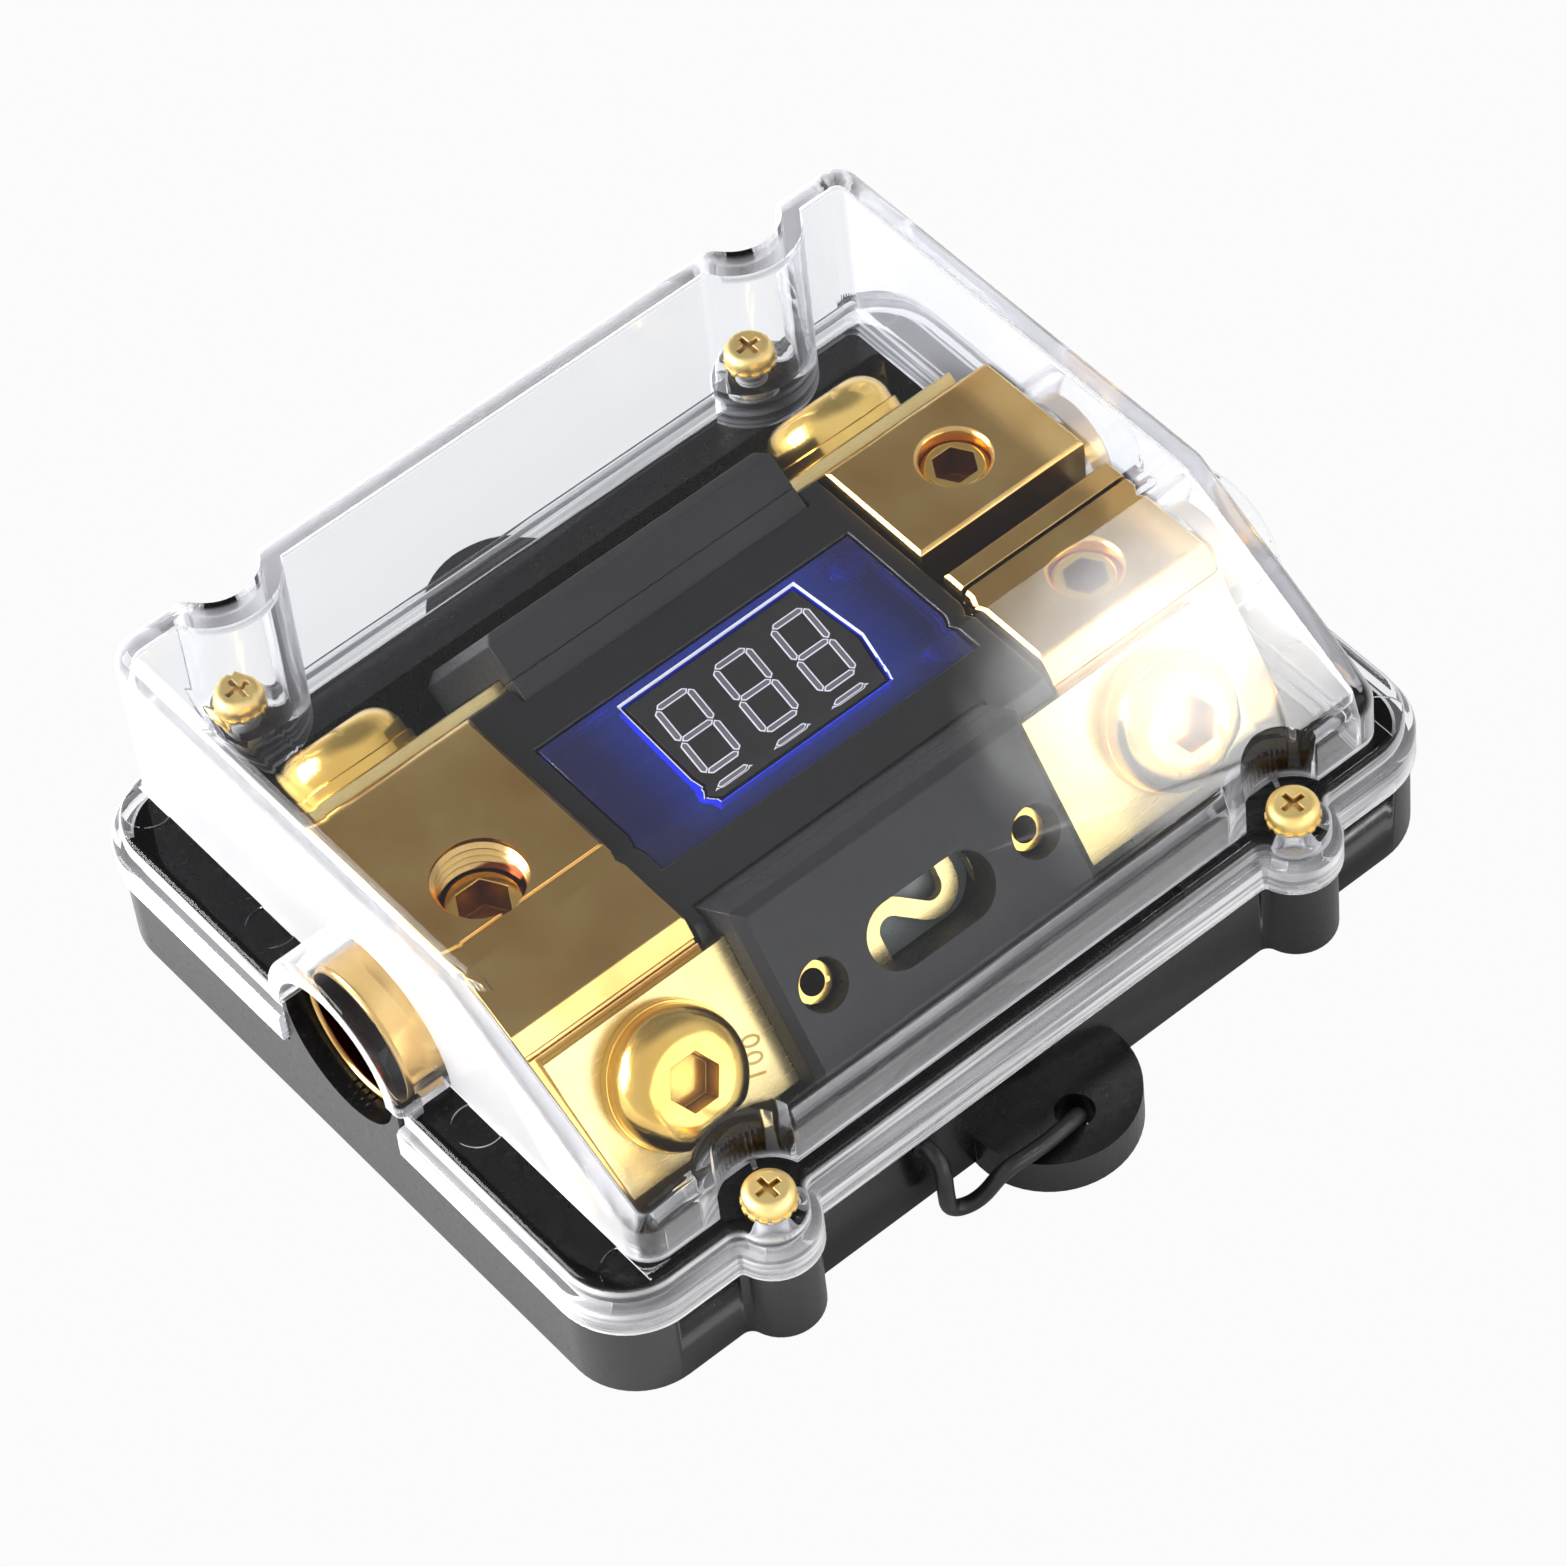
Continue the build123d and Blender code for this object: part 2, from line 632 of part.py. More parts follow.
def fuse_shell(side, outer):
    # One half of the black body; outer is True for the half that faces the cover
    with BuildPart(mode=Mode.PRIVATE) as half:
        mid = blade_t / 2
        low, high = (mid, body_half_t + mid) if outer else (-body_half_t + mid, mid)
        with BuildSketch(slope_plane(side, 0, body_v, low)):
            with Locations((body_mid, 0)):
                Rectangle(body_len, body_h)
        extrude(amount=high - low)
        face_at = high if outer else low
        plane = slope_plane(side, 0, body_v, face_at)
        rim = [e for e in half.edges() if abs(plane.to_local_coords(e.center()).Z) < 0.01]
        chamfer(rim, 1.0)
        # slot for the blade strip
        with BuildSketch(slope_plane(side, 0, blade_v, -0.1)):
            with Locations((body_mid, 0)):
                Rectangle(body_len + 2, blade_w + 0.3)
        extrude(amount=blade_t + 0.2, mode=Mode.SUBTRACT)
        if outer:
            with BuildSketch(slope_plane(side, 0, blade_v, high)):
                with Locations((window_x, -window_drop)):
                    SlotOverall(window_len, window_w)
                with Locations((eyelet_left, 0), (eyelet_right, 0)):
                    Circle(2.65)
            extrude(amount=-body_half_t - 1, mode=Mode.SUBTRACT)
        else:
            with BuildSketch(slope_plane(side, 0, blade_v, low)):
                with Locations((window_x, -window_drop)):
                    SlotOverall(window_len, window_w)
                with Locations((eyelet_left, 0), (eyelet_right, 0)):
                    Circle(1.75)
            extrude(amount=body_half_t + 1, mode=Mode.SUBTRACT)
            with BuildSketch(slope_plane(side, 0, blade_v, mid)):
                with Locations((window_x, -window_drop)):
                    SlotOverall(window_len + 1.4, window_w + 1.4)
            extrude(amount=-2.6, mode=Mode.SUBTRACT)
    return half.part


def fuse_pane(side):
    with BuildPart(mode=Mode.PRIVATE) as pane:
        with BuildSketch(slope_plane(side, 0, blade_v, blade_t / 2 - 2.6)):
            with Locations((window_x, -window_drop)):
                SlotOverall(window_len + 1.1, window_w + 1.1)
        extrude(amount=1.0)
    return pane.part


def fuse_eyelets(side):
    # Two tubes through the body, each turned over at both ends
    with BuildPart(mode=Mode.PRIVATE) as tubes:
        mid = blade_t / 2
        with BuildSketch(slope_plane(side, 0, blade_v, mid - body_half_t - 0.3)):
            with Locations((eyelet_left, 0), (eyelet_right, 0)):
                Circle(1.7)
        extrude(amount=body_half_t + 3.0)
        with BuildSketch(slope_plane(side, 0, blade_v, mid - body_half_t - 0.3)):
            with Locations((eyelet_left, 0), (eyelet_right, 0)):
                Circle(2.3)
        extrude(amount=0.3)
        with BuildSketch(slope_plane(side, 0, blade_v, mid + 2.2)):
            with Locations((eyelet_left, 0), (eyelet_right, 0)):
                Circle(2.15)
        extrude(amount=0.5)
        with BuildSketch(slope_plane(side, 0, blade_v, -10)):
            with Locations((eyelet_left, 0), (eyelet_right, 0)):
                Circle(1.35)
        extrude(amount=20, mode=Mode.SUBTRACT)
    return tubes.part


with BuildPart() as fuse_front_element:
    add(fuse_element(-1))
fuse_front_element.part.label = "fuse_front_element"

with BuildPart() as fuse_front_shell_outer:
    add(fuse_shell(-1, True))
fuse_front_shell_outer.part.label = "fuse_front_shell_outer"

with BuildPart() as fuse_front_shell_inner:
    add(fuse_shell(-1, False))
fuse_front_shell_inner.part.label = "fuse_front_shell_inner"

with BuildPart() as fuse_front_pane:
    add(fuse_pane(-1))
fuse_front_pane.part.label = "fuse_front_pane"

with BuildPart() as fuse_front_eyelets:
    add(fuse_eyelets(-1))
fuse_front_eyelets.part.label = "fuse_front_eyelets"

with BuildPart() as fuse_rear_element:
    add(fuse_element(1))
fuse_rear_element.part.label = "fuse_rear_element"

with BuildPart() as fuse_rear_shell_outer:
    add(fuse_shell(1, True))
fuse_rear_shell_outer.part.label = "fuse_rear_shell_outer"

with BuildPart() as fuse_rear_shell_inner:
    add(fuse_shell(1, False))
fuse_rear_shell_inner.part.label = "fuse_rear_shell_inner"

with BuildPart() as fuse_rear_pane:
    add(fuse_pane(1))
fuse_rear_pane.part.label = "fuse_rear_pane"

with BuildPart() as fuse_rear_eyelets:
    add(fuse_eyelets(1))
fuse_rear_eyelets.part.label = "fuse_rear_eyelets"


# Four button head bolts with flat washers hold the blades on the slopes
def bolt_on(side, x):
    with BuildPart(mode=Mode.PRIVATE) as bolt:
        seat = blade_t + washer_t
        with BuildSketch(slope_plane(side, x, blade_v, seat)):
            Circle(bolt_head_r)
        extrude(amount=bolt_head_h)
        rim_plane = slope_plane(side, x, blade_v, seat + bolt_head_h)
        rim = [e for e in bolt.edges() if abs(rim_plane.to_local_coords(e.center()).Z) < 0.01]
        fillet(rim, 3.2)
        with BuildSketch(slope_plane(side, x, blade_v, seat)):
            Circle(3.35)
        extrude(amount=-seat - 8.0)
        with BuildSketch(slope_plane(side, x, blade_v, seat + bolt_head_h)):
            RegularPolygon(2.5, 6, major_radius=False)
        extrude(amount=-2.6, mode=Mode.SUBTRACT)
    return bolt.part


def washer_on(side, x):
    with BuildPart(mode=Mode.PRIVATE) as washer:
        with BuildSketch(slope_plane(side, x, blade_v, blade_t)):
            Circle(washer_r)
            Circle(4.2, mode=Mode.SUBTRACT)
        extrude(amount=washer_t)
    return washer.part


with BuildPart() as fuse_bolts:
    for side in (-1, 1):
        for x in (-bolt_x, bolt_x):
            add(bolt_on(side, x))
fuse_bolts.part.label = "fuse_bolts"

with BuildPart() as bolt_washers:
    for side in (-1, 1):
        for x in (-bolt_x, bolt_x):
            add(washer_on(side, x))
bolt_washers.part.label = "bolt_washers"

# Black housing between the blocks: carries the display and the inner half of each fuse body
house_left = in_block_right + house_gap
house_right = out_block_left - house_gap
house_top = lens_z + 0.1
with BuildPart() as centre_housing:
    with BuildSketch(Plane.YZ.offset(house_left)):
        with BuildLine():
            Polyline(
                (-slope_y(floor_z), floor_z),
                (-slope_y(house_top), house_top),
                (slope_y(house_top), house_top),
                (slope_y(floor_z), floor_z),
                close=True,
            )
        make_face()
    extrude(amount=house_right - house_left)
    # seats for the fuse bodies
    for side in (-1, 1):
        with BuildSketch(slope_plane(side, 0, body_v, 3)):
            with Locations((body_mid, 0)):
                Rectangle(body_len + 0.6, body_h + 0.6)
        extrude(amount=-3 - body_half_t + blade_t / 2 - 0.4, mode=Mode.SUBTRACT)
    # seat for the lens, and a deeper one for the circuit board and the display
    with BuildSketch(Plane.XY.offset(house_top)):
        with Locations(((lens_x0 + lens_x1) / 2, 0)):
            Rectangle(lens_x1 - lens_x0 + 0.4, 2 * lens_half_y + 0.4)
    extrude(amount=-(house_top - lens_z + lens_t), mode=Mode.SUBTRACT)
    with BuildSketch(Plane.XY.offset(lens_z - lens_t)):
        with Locations(((lens_x0 + lens_x1) / 2, 0)):
            Rectangle(lens_x1 - lens_x0 - 1.0, 2 * lens_half_y - 1.0)
    extrude(amount=-board_t, mode=Mode.SUBTRACT)
    with BuildSketch(Plane.XY.offset(lens_z - lens_t - board_t)):
        with Locations(*display_screw_points):
            Circle(0.8)
    extrude(amount=-5, mode=Mode.SUBTRACT)
centre_housing.part.label = "centre_housing"

# Display: board, numeral block, lens with its cut-out, two small screws
board_top = lens_z - lens_t
with BuildPart() as display_board:
    with BuildSketch(Plane.XY.offset(board_top - board_t)):
        with Locations(((lens_x0 + lens_x1) / 2, 0)):
            Rectangle(lens_x1 - lens_x0 - 1.4, 2 * lens_half_y - 1.4)
        with Locations(*display_screw_points):
            Circle(1.1, mode=Mode.SUBTRACT)
    extrude(amount=board_t)
display_board.part.label = "display_board"


def window_outline(fit):
    # The display's window, drawn in by a fit on every side
    x0, x1, y0, y1 = window_x0 + fit, window_x1 - fit, window_y0 + fit, window_y1 - fit
    Polyline(
        (x0 + 0.55, y1 - 0.2),
        (x1 - 0.75, y1),
        (x1, y0 + 5.7),
        (x1 - 1.35, y0 + 0.15),
        (x0 + 0.65, y0),
        (x0, y0 + 3.15),
        close=True,
    )


with BuildPart() as display_module:
    with BuildSketch(Plane.XY.offset(board_top)):
        with BuildLine():
            window_outline(window_fit)
        make_face()
    extrude(amount=lens_t - 0.3)
display_module.part.label = "display_module"

with BuildPart() as display_lens:
    with BuildSketch(Plane.YZ.offset(lens_x0)):
        with BuildLine():
            Polyline(
                (-lens_half_y, board_top),
                (-lens_half_y, lens_z - 0.6),
                (-4.2, lens_z),
                (lens_half_y, lens_z),
                (lens_half_y, board_top),
                close=True,
            )
        make_face()
    extrude(amount=lens_x1 - lens_x0)
    with BuildSketch(Plane.XY.offset(board_top)):
        with BuildLine():
            window_outline(0)
        make_face()
    extrude(amount=5, mode=Mode.SUBTRACT)
    # hollows in the underside that clear the screw heads
    with BuildSketch(Plane.XY.offset(board_top)):
        with Locations(*display_screw_points):
            Circle(1.9)
    extrude(amount=1.2, mode=Mode.SUBTRACT)
display_lens.part.label = "display_lens"

with BuildPart() as display_screws:
    with Locations(*[(x, y, board_top) for x, y in display_screw_points]):
        add(pan_screw(1.6, 0.9, 0.75, 5.0, 1.6, 0.4))
display_screws.part.label = "display_screws"

# Screws that hold the blocks down from below
with BuildPart() as block_screws:
    with BuildSketch(Plane.XY.offset(0.2)):
        with Locations(*hold_down_points):
            Circle(3.3)
    extrude(amount=1.4)
    with BuildSketch(Plane.XY.offset(1.6)):
        with Locations(*hold_down_points):
            Circle(1.55)
    extrude(amount=7.5)
    with BuildSketch(Plane.XY.offset(0.2)):
        with Locations(*hold_down_points):
            Rectangle(3.4, 0.8)
            Rectangle(0.8, 3.4)
    extrude(amount=0.8, mode=Mode.SUBTRACT)
block_screws.part.label = "block_screws"

# Gland in the front wall and the earth lead that lies over the front ear and ends in its hole
with BuildPart() as lead_gland:
    with BuildSketch(Plane.XZ.offset(tray_half_y)):
        with Locations((lead_x, lead_z)):
            Circle(gland_flange_r)
    extrude(amount=gland_flange_t)
    with BuildSketch(Plane.XZ.offset(tray_half_y)):
        with Locations((lead_x, lead_z)):
            Circle(gland_hole_r)
    extrude(amount=-5.0)
lead_gland.part.label = "lead_gland"

lead_points = [
    (lead_x, -tray_half_y - gland_flange_t, lead_z),
    (-15.0, -43.1, 9.0),
    (-15.2, -44.2, 7.8),
    (-15.4, -44.5, 5.3),
    (-15.0, -44.2, 1.3),
    (-12.2, -45.4, 1.5),
    (-10.0, -46.8, 6.0),
    (-5.7, -47.1, 5.7),
    (-1.5, -46.9, 5.9),
    (0.3, -45.8, 4.2),
    (0.1, -45.4, 1.4),
]
lead_bends = []
for i in range(1, len(lead_points) - 1):
    run_in = Vector(lead_points[i]) - Vector(lead_points[i - 1])
    run_out = Vector(lead_points[i + 1]) - Vector(lead_points[i])
    half_turn = radians(run_in.get_angle(run_out) / 2)
    lead_bends.append(0.45 * min(run_in.length, run_out.length) / tan(half_turn))
print("lead bend radii", [round(bend, 2) for bend in lead_bends])
with BuildPart() as ground_lead:
    with BuildLine() as lead_path:
        FilletPolyline(*lead_points, radius=lead_bends)
    with BuildSketch(Plane(origin=lead_path.line @ 0, z_dir=lead_path.line % 0)):
        Circle(lead_r)
    sweep()
ground_lead.part.label = "ground_lead"
print("lead length", round(sum(edge.length for edge in lead_path.edges()), 2))

pieces = [
    base, *cover_pieces, cover_screws, cover_washers, input_block, output_block_rear, output_block_front,
    input_set_screw, output_set_screw_rear, output_set_screw_front,
    fuse_front_element, fuse_front_shell_outer, fuse_front_shell_inner, fuse_front_pane, fuse_front_eyelets,
    fuse_rear_element, fuse_rear_shell_outer, fuse_rear_shell_inner, fuse_rear_pane, fuse_rear_eyelets,
    fuse_bolts, bolt_washers, centre_housing, display_board, display_module, display_lens, display_screws,
    block_screws, lead_gland, ground_lead,
]
for piece in pieces:
    print(piece.part.label, len(piece.part.solids()), round(piece.part.volume, 1), piece.part.is_valid)
    export_step(piece.part, "parts/" + piece.part.label + ".step")
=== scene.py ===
import math

import bpy
from mathutils import Matrix, Vector


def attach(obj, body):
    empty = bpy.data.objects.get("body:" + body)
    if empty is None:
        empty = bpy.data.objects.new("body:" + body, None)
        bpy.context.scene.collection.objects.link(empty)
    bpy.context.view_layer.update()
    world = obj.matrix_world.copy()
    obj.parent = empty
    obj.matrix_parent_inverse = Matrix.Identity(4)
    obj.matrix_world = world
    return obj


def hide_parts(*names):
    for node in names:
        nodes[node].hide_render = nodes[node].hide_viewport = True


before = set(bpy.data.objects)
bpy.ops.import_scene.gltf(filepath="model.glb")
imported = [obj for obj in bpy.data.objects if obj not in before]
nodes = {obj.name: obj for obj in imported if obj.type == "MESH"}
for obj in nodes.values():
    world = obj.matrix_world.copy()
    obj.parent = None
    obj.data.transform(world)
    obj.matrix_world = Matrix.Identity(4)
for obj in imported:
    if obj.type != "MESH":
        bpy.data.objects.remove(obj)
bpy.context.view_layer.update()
scene = bpy.context.scene
mm = 0.001
print("nodes loaded", len(nodes))

# the camera, worked out from the four cover screws in the photograph
view = {
    "place": (-0.23364, -0.34313, 0.53147),
    "right": (0.76380, -0.64095, -0.07609),
    "up": (0.53966, 0.56948, 0.62005),
    "back": (-0.35409, -0.51466, 0.78086),
    "lens": 156.7,
    "pixels": 1566,
}
cameraData = bpy.data.cameras.new("camera")
cameraData.lens = view["lens"]
cameraData.sensor_width = 36
cameraData.clip_start = 0.01
cameraData.dof.use_dof = False
camera = bpy.data.objects.new("camera", cameraData)
scene.collection.objects.link(camera)
cameraTurn = Matrix((view["right"], view["up"], view["back"])).transposed().to_4x4()
camera.matrix_world = Matrix.Translation(view["place"]) @ cameraTurn
scene.camera = camera
scene.render.resolution_x = view["pixels"]
scene.render.resolution_y = view["pixels"]
scene.view_settings.view_transform = "Standard"
# rays cross several walls of the clear cover on their way in and out
scene.cycles.max_bounces = 20
scene.cycles.transmission_bounces = 20
scene.cycles.glossy_bounces = 8
scene.cycles.transparent_max_bounces = 16
scene.cycles.caustics_reflective = False
scene.cycles.caustics_refractive = False
print("camera ready")


def toLinear(code):
    channels = [int(code[i:i + 2], 16) / 255 for i in (1, 3, 5)]
    return [c / 12.92 if c <= 0.04045 else ((c + 0.055) / 1.055) ** 2.4 for c in channels] + [1.0]


def addNode(tree, kind, inputs=(), **settings):
    # inputs are given in order or by name, and a node among them is linked by its first output
    node = tree.nodes.new("ShaderNode" + kind)
    for key, value in settings.items():
        setattr(node, key, value)
    for key, value in inputs.items() if isinstance(inputs, dict) else enumerate(inputs):
        if isinstance(value, bpy.types.Node):
            value = value.outputs[0]
        if isinstance(value, bpy.types.NodeSocket):
            tree.links.new(value, node.inputs[key])
        else:
            node.inputs[key].default_value = value
    return node


def newMaterial(name):
    material = bpy.data.materials.new(name)
    material.use_nodes = True
    material.node_tree.nodes.clear()
    return material, material.node_tree


def mouldedPlastic(name, dark, light, rough, grain, depth):
    # soft clouds of shade, 14 mm across, and a fine grain in the skin that the mould leaves
    material, tree = newMaterial(name)
    place = addNode(tree, "TexCoord").outputs["Object"]
    cloud = addNode(tree, "TexNoise", {"Vector": place, "Scale": 1 / (14 * mm), "Detail": 4})
    fine = addNode(tree, "TexNoise", {"Vector": place, "Scale": 1 / (grain * mm), "Detail": 4})
    shade = addNode(tree, "MapRange", (cloud, 0.35, 0.65, 0, 1))
    color = addNode(tree, "Mix", {0: shade, 6: toLinear(dark), 7: toLinear(light)}, data_type="RGBA")
    shine = addNode(tree, "MapRange", (fine, 0.3, 0.7, rough * 0.85, rough * 1.2))
    skin = addNode(tree, "Bump", {"Height": fine, "Distance": depth * mm, "Strength": 1.0})
    shader = addNode(
        tree, "BsdfPrincipled",
        {"Base Color": color.outputs[2], "Roughness": shine, "Normal": skin, "IOR": 1.5},
    )
    addNode(tree, "OutputMaterial", {"Surface": shader})
    return material


def platedMetal(name, dark, light, rough, streak, depth, stretch=(1, 1, 1), bore=None):
    # clouds of plating 9 mm across, and tool lines drawn out along one axis by stretch
    material, tree = newMaterial(name)
    place = addNode(tree, "TexCoord").outputs["Object"]
    along = addNode(tree, "VectorMath", (place, stretch), operation="MULTIPLY")
    cloud = addNode(tree, "TexNoise", {"Vector": place, "Scale": 1 / (9 * mm), "Detail": 3})
    lines = addNode(tree, "TexNoise", {"Vector": along, "Scale": 1 / (streak * mm), "Detail": 4})
    shade = addNode(tree, "MapRange", (cloud, 0.3, 0.7, 0, 1))
    color = addNode(tree, "Mix", {0: shade, 6: toLinear(dark), 7: toLinear(light)}, data_type="RGBA")
    # painted shade: sockets and thread gaps, found by occlusion, turn copper brown, partly the copper of their thin
    # plating
    openness = addNode(tree, "AmbientOcclusion", {"Distance": 6 * mm}, samples=6, only_local=True)
    plateShadeMask = addNode(tree, "MapRange", (openness.outputs["AO"], 0.12, 0.55, 0, 1))
    if bore:
        # the heavy cable's bore gets the same painted shade and copper brown, found by the distance from its axis
        # and the place along it
        offAxis = addNode(tree, "VectorMath", (place, (0, 0, -bore["height"] * mm)), operation="ADD")
        offAxis = addNode(tree, "VectorMath", (offAxis, (0, 1, 1)), operation="MULTIPLY")
        radius = addNode(tree, "VectorMath", (offAxis,), operation="LENGTH").outputs["Value"]
        alongBore = addNode(tree, "SeparateXYZ", (place,)).outputs["X"]
        outside = addNode(tree, "MapRange", (radius, bore["wall"][0] * mm, bore["wall"][1] * mm, 0, 1))
        for (near, far), atNear, atFar in ((bore["mouth"], 1, 0), (bore["end"], 0, 1)):
            past = addNode(tree, "MapRange", (alongBore, near * mm, far * mm, atNear, atFar))
            outside = addNode(tree, "Math", (outside, past), operation="MAXIMUM")
        plateShadeMask = addNode(tree, "Math", (plateShadeMask, outside), operation="MULTIPLY")
    # where the mask is low the colour turns dark copper brown: painted shade, partly thin plating's copper
    coatAndShade = addNode(tree, "Mix", {0: plateShadeMask, 6: toLinear("#6A3018"), 7: color.outputs[2]}, data_type="RGBA")
    shine = addNode(tree, "MapRange", (lines, 0.3, 0.7, rough * 0.92, rough * 1.08))
    skin = addNode(tree, "Bump", {"Height": lines, "Distance": depth * mm, "Strength": 1.0})
    shader = addNode(
        tree, "BsdfPrincipled",
        {"Base Color": coatAndShade.outputs[2], "Metallic": 1.0, "Roughness": shine, "Normal": skin},
    )
    addNode(tree, "OutputMaterial", {"Surface": shader})
    return material


def letLightIn(tree, shader, code):
    # shadow and diffuse rays pass with a slight tint, so what lies under the clear piece stays lit
    path = addNode(tree, "LightPath").outputs
    soft = addNode(tree, "Math", (path["Is Shadow Ray"], path["Is Diffuse Ray"]), operation="MAXIMUM")
    passing = addNode(tree, "BsdfTransparent", {"Color": toLinear(code)})
    mix = addNode(tree, "MixShader", (soft, shader, passing))
    addNode(tree, "OutputMaterial", {"Surface": mix})


def clearMoulding(name, tint, rough, sheen, skirtSheen):
    # The IOR is under the real 1.58, so that the ridge and the edges bend the view as photographed.
    # The wave, 16 mm long, is the mould's own; the haze is drawn coarse, at 0.6 mm, to show at all.
    material, tree = newMaterial(name)
    place = addNode(tree, "TexCoord").outputs["Object"]
    height = addNode(tree, "SeparateXYZ", (place,)).outputs["Z"]
    facing = addNode(tree, "LayerWeight", {"Blend": 0.5}).outputs["Facing"]
    wiped = addNode(tree, "VectorMath", (place, (1, 0.25, 1)), operation="MULTIPLY")
    haze = addNode(tree, "TexNoise", {"Vector": wiped, "Scale": 1 / (0.6 * mm), "Detail": 5})
    wave = addNode(tree, "TexNoise", {"Vector": place, "Scale": 1 / (16 * mm), "Detail": 2})
    shine = addNode(tree, "MapRange", (haze, 0.45, 0.8, rough, rough * 3))
    skin = addNode(tree, "Bump", {"Height": wave, "Distance": 0.05 * mm, "Strength": 1.0})
    clear = addNode(
        tree, "BsdfPrincipled",
        {"Base Color": toLinear(tint), "Transmission Weight": 1.0, "IOR": 1.27, "Roughness": shine, "Normal": skin},
    )
    # walls seen at a shallow angle get a painted sheen: a white diffuse layer stands in for the bright room's
    # reflection
    sheenWhite = addNode(tree, "BsdfDiffuse", {"Color": toLinear("#FDFDFF")})
    shell = addNode(tree, "MapRange", (facing, 0.30, 0.80, 0.0, sheen), interpolation_type="SMOOTHSTEP")
    # the stacked bands of the skirt get a stronger painted sheen, with fine lines along them, 0.8 mm apart
    skirt = addNode(tree, "MapRange", (facing, 0.28, 0.55, 0.0, skirtSheen), interpolation_type="SMOOTHSTEP")
    lip = addNode(tree, "MapRange", (height, 15.6 * mm, 16.3 * mm, skirtSheen * 0.45, 0))
    skirt = addNode(tree, "Math", (skirt, lip), operation="MAXIMUM")
    drawn = addNode(tree, "VectorMath", (place, (0.02, 0.02, 1)), operation="MULTIPLY")
    lines = addNode(tree, "TexNoise", {"Vector": drawn, "Scale": 1 / (0.8 * mm), "Detail": 3})
    lines = addNode(tree, "MapRange", (lines, 0.42, 0.60, 0.25, 1))
    skirt = addNode(tree, "Math", (skirt, lines), operation="MULTIPLY")
    low = addNode(tree, "MapRange", (height, 17.2 * mm, 18.0 * mm, 1, 0))
    skirt = addNode(tree, "Math", (skirt, low), operation="MULTIPLY")
    # painted sheen: the white diffuse layer is mixed in as far as these masks reach
    paintedSheen = addNode(tree, "Math", (shell, skirt), operation="MAXIMUM")
    letLightIn(tree, addNode(tree, "MixShader", (paintedSheen, clear, sheenWhite)), "#F4F4F6")
    return material


def tintedLens(name, deep, bright, middle, glowX, glowY):
    # painted light: brighter round the cut-out, where the light gathers; fine scratches run along the lens
    material, tree = newMaterial(name)
    place = addNode(tree, "TexCoord").outputs["Object"]
    split = addNode(tree, "SeparateXYZ", (place,)).outputs
    glow = []
    for axis, centre, (near, far), rest in (("X", middle[0], glowX, 0), ("Y", middle[1], glowY, 0.25)):
        away = addNode(tree, "Math", (split[axis], -centre * mm), operation="ADD")
        away = addNode(tree, "Math", (away,), operation="ABSOLUTE")
        glow.append(addNode(tree, "MapRange", (away, near * mm, far * mm, 1, rest)))
    lit = addNode(tree, "Math", glow, operation="MULTIPLY")
    # painted light: the colour turns bright blue where the glow mask is high
    color = addNode(tree, "Mix", {0: lit, 6: toLinear(deep), 7: toLinear(bright)}, data_type="RGBA")
    wiped = addNode(tree, "VectorMath", (place, (0.1, 1, 1)), operation="MULTIPLY")
    scratch = addNode(tree, "TexNoise", {"Vector": wiped, "Scale": 1 / (0.5 * mm), "Detail": 5})
    shine = addNode(tree, "MapRange", (scratch, 0.4, 0.7, 0.08, 0.2))
    glass = addNode(
        tree, "BsdfPrincipled",
        {"Base Color": color.outputs[2], "Transmission Weight": 0.8, "IOR": 1.45, "Roughness": shine},
    )
    letLightIn(tree, glass, "#8C96FF")
    return material


# The plastics. Their real grain is under 0.1 mm, too fine to show, so it is drawn 0.3 to 0.7 mm wide.
# ABS from a polished mould: a deep, even gloss
blackAbs = mouldedPlastic("blackMouldedAbs", "#0B0B0C", "#121214", rough=0.24, grain=0.7, depth=0.0012)
# the same resin from a duller mould: softer, wider reflections
blackHousing = mouldedPlastic("blackMouldedHousing", "#0A0A0B", "#131315", rough=0.34, grain=0.6, depth=0.002)
# heat-proof filled resin: a greyer, dull black
fuseResin = mouldedPlastic("fuseMouldedResin", "#141415", "#1D1D1F", rough=0.50, grain=0.4, depth=0.004)
# extruded PVC sleeve: black with a soft sheen along its bends
rubberBlack = mouldedPlastic("pvcLeadSleeve", "#0D0D0F", "#1A1A1D", rough=0.38, grain=0.4, depth=0.01)
# printed solder mask: a smooth dark blue
boardMask = mouldedPlastic("boardSolderMask", "#07102E", "#0B1740", rough=0.35, grain=0.6, depth=0.01)
# split mica: a pale grey sheet with a little gloss
greyMica = mouldedPlastic("greyMicaPane", "#8B9390", "#A4ABA7", rough=0.3, grain=0.6, depth=0.01)
# printed film over the digits: a flat warm black
moduleFace = mouldedPlastic("displayFaceFilm", "#191718", "#201E1F", rough=0.4, grain=0.3, depth=0.006)
# cast diffuser of an unlit segment: dull grey, with the paler rim of its pocket
segmentGrey = mouldedPlastic("segmentDiffuserResin", "#5E5C62", "#6C6A70", rough=0.5, grain=0.4, depth=0.002)
segmentRim = mouldedPlastic("segmentRimResin", "#E2E2EA", "#F0F0F6", rough=0.5, grain=0.4, depth=0.002)
# sawn and polished edges of the lens's window: vivid blue walls under a white rim that is a painted glint
lensWall = mouldedPlastic("blueAcrylicCutEdge", "#1A36E8", "#2A48FF", rough=0.35, grain=0.5, depth=0.003)
lensRimGlint = mouldedPlastic("polishedAcrylicRimGlint", "#F4F6FF", "#FFFFFF", rough=0.3, grain=0.5, depth=0.002)
